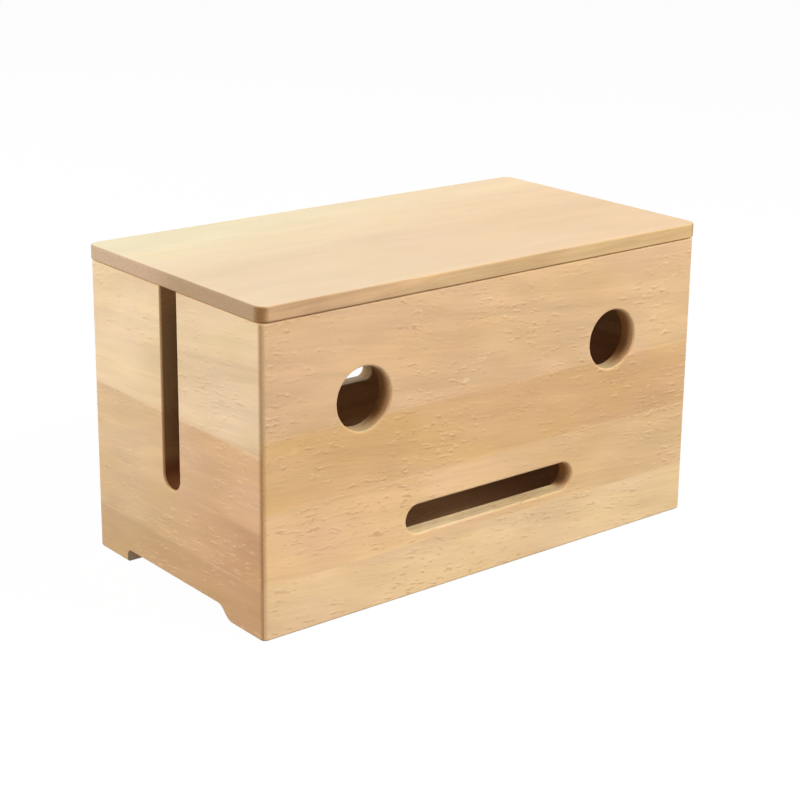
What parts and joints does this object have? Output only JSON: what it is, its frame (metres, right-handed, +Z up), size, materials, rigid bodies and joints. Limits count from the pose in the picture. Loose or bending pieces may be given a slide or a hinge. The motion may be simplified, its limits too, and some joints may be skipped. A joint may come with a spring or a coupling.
{
  "type": "cable management box",
  "caption": "Mitred beech box that hides a power strip: round outlets and a long slot in front, open cable slots in the ends over air gaps, and a lift-off lid.",
  "frame": {"origin": "middle of the base, on the surface that the box stands on", "axes": "+X to the right along the front, +Y from the front to the back, +Z up; the round outlets and the long slot face -Y"},
  "size_m": [0.3224, 0.1724, 0.185],
  "materials": {
    "front_beech": "sanded and oiled edge-glued beech, pale pinkish tan with long horizontal grain and short pores",
    "end_beech": "sanded and oiled edge-glued beech, slightly greyer than the front, horizontal grain",
    "back_beech": "sanded and oiled edge-glued beech, like the front",
    "lid_beech": "sanded and oiled beech, pale yellowish top with a darker, browner edge",
    "floor_ply": "plain beech-faced plywood, unfinished",
    "spline_beech": "plain beech strip, glued",
    "batten_beech": "sanded beech strip",
    "screw_steel": "zinc-plated steel"
  },
  "bodies": {
    "case": {"front_panel": "front_beech", "back_panel": "back_beech", "left_end_panel": "end_beech", "right_end_panel": "end_beech", "floor_panel": "floor_ply", "front_left_spline": "spline_beech", "front_right_spline": "spline_beech", "back_left_spline": "spline_beech", "back_right_spline": "spline_beech"},
    "lid": {"lid_board": "lid_beech", "left_lid_batten": "batten_beech", "right_lid_batten": "batten_beech", "batten_screws": "screw_steel"}
  },
  "joints": [
    {"name": "lid_lift", "type": "slide", "parent": "case", "child": "lid", "axis": [0, 0, 1], "range_m": [0, 0.2]}
  ]
}
